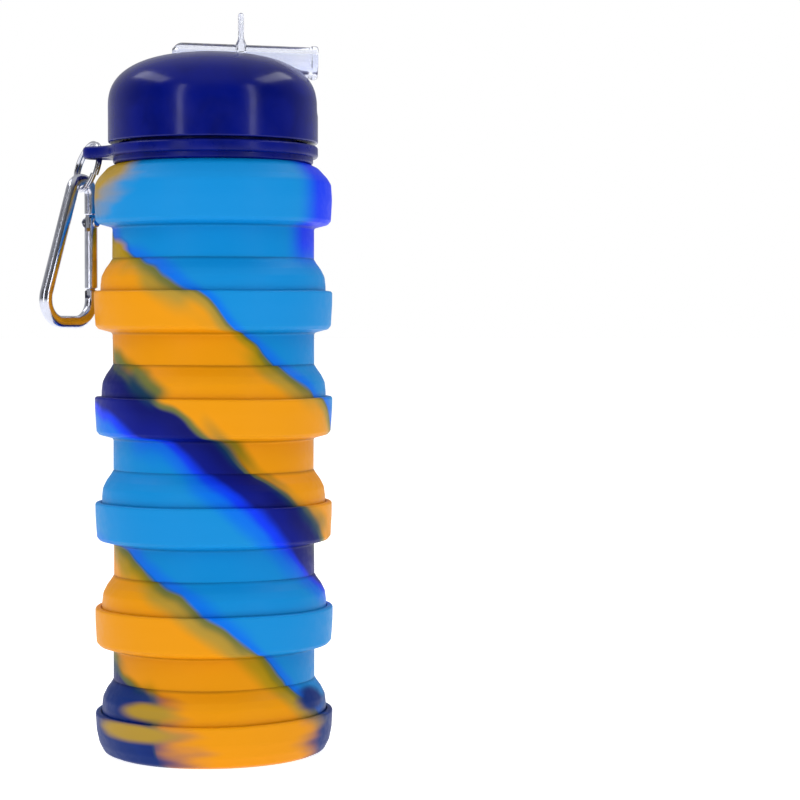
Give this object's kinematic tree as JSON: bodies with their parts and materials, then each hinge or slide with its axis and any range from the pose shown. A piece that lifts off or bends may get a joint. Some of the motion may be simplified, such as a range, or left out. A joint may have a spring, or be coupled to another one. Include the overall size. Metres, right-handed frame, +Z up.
{
  "type": "folding water bottle",
  "caption": "Collapsible silicone travel bottle in a marbled pattern, with fold rings, a domed screw cap, a flip spout and a clip on a split ring.",
  "frame": {"origin": "centre of the flat underside of the base", "axes": "+Z up along the bottle, towards the cap; the ear and the clip are on the -X side and the shut spout points to +X"},
  "size_m": [0.0858, 0.07, 0.218],
  "materials": {
    "marbled_silicone": "satin",
    "navy_satin_plastic": "satin",
    "navy_gloss_plastic": "gloss",
    "inner_plastic": "satin",
    "seal_silicone": "satin",
    "clear_plastic": "gloss",
    "bright_steel": "polished",
    "bright_aluminium": "polished"
  },
  "bodies": {
    "base": {"base_cup": "marbled_silicone", "fold_wall_1": "marbled_silicone"},
    "ring_1": {"fold_ring_1": "marbled_silicone", "fold_wall_2": "marbled_silicone"},
    "ring_2": {"fold_ring_2": "marbled_silicone", "fold_wall_3": "marbled_silicone"},
    "ring_3": {"fold_ring_3": "marbled_silicone", "fold_wall_4": "marbled_silicone"},
    "ring_4": {"fold_ring_4": "marbled_silicone", "fold_wall_5": "marbled_silicone"},
    "shoulder": {"shoulder_ring": "marbled_silicone", "neck_collar": "navy_satin_plastic", "neck_tube": "navy_satin_plastic", "neck_thread_1": "navy_satin_plastic", "neck_thread_2": "navy_satin_plastic"},
    "cap_seat": {"cap_seal": "seal_silicone"},
    "cap": {"cap_dome": "navy_gloss_plastic", "cap_skirt": "navy_gloss_plastic", "cap_liner": "inner_plastic", "cap_plug": "inner_plastic", "spout_seat_seal": "seal_silicone", "vent_valve": "seal_silicone", "cap_thread_1": "navy_gloss_plastic", "cap_thread_2": "navy_gloss_plastic"},
    "spout": {"flip_spout": "clear_plastic"},
    "key_ring": {"split_ring": "bright_steel"},
    "clip": {"carabiner_frame": "bright_aluminium", "gate_rivet": "bright_steel"},
    "clip_gate": {"carabiner_gate": "bright_aluminium", "gate_spring": "bright_steel"}
  },
  "joints": [
    {"name": "fold_1", "type": "slide", "parent": "base", "child": "ring_1", "axis": [0, 0, -1], "range_m": [0, 0.0186], "deforming": ["fold_wall_1"]},
    {"name": "fold_2", "type": "slide", "parent": "ring_1", "child": "ring_2", "axis": [0, 0, -1], "range_m": [0, 0.0186], "deforming": ["fold_wall_2"]},
    {"name": "fold_3", "type": "slide", "parent": "ring_2", "child": "ring_3", "axis": [0, 0, -1], "range_m": [0, 0.0186], "deforming": ["fold_wall_3"]},
    {"name": "fold_4", "type": "slide", "parent": "ring_3", "child": "ring_4", "axis": [0, 0, -1], "range_m": [0, 0.0186], "deforming": ["fold_wall_4"]},
    {"name": "fold_5", "type": "slide", "parent": "ring_4", "child": "shoulder", "axis": [0, 0, -1], "range_m": [0, 0.0186], "deforming": ["fold_wall_5"]},
    {"name": "cap_rise", "type": "slide", "parent": "shoulder", "child": "cap_seat", "axis": [0, 0, 1], "range_m": [0, 0.0181]},
    {"name": "cap_turn", "type": "hinge", "parent": "cap_seat", "child": "cap", "pos_m": [0, 0, 0.19], "axis": [0, 0, 1], "range_deg": [0, 720]},
    {"name": "spout_flip", "type": "hinge", "parent": "cap", "child": "spout", "pos_m": [-0.008, 0, 0.2037], "axis": [0, -1, 0], "range_deg": [0, 90]},
    {"name": "ring_swing", "type": "hinge", "parent": "shoulder", "child": "key_ring", "pos_m": [-0.03545, 0.00854, 0.17705], "axis": [0.8712, 0.4062, -0.2756], "range_deg": [0, 60]},
    {"name": "clip_swing", "type": "hinge", "parent": "key_ring", "child": "clip", "pos_m": [-0.03912, 0.00849, 0.1661], "axis": [-0.7547, 0.6561, 0], "range_deg": [0, 35]},
    {"name": "gate_open", "type": "hinge", "parent": "clip", "child": "clip_gate", "pos_m": [-0.0365, 0.01151, 0.15675], "axis": [-0.7547, 0.6561, 0], "range_deg": [0, 28], "stiffness_Nm_per_rad": 0.02, "springref_deg": -28.65}
  ],
  "couplings": [
    {"joint": "fold_2", "follows": "fold_1", "ratio": 1},
    {"joint": "fold_3", "follows": "fold_1", "ratio": 1},
    {"joint": "fold_4", "follows": "fold_1", "ratio": 1},
    {"joint": "fold_5", "follows": "fold_1", "ratio": 1},
    {"joint": "cap_rise", "follows": "cap_turn", "m_per_rad": 0.0014324}
  ]
}
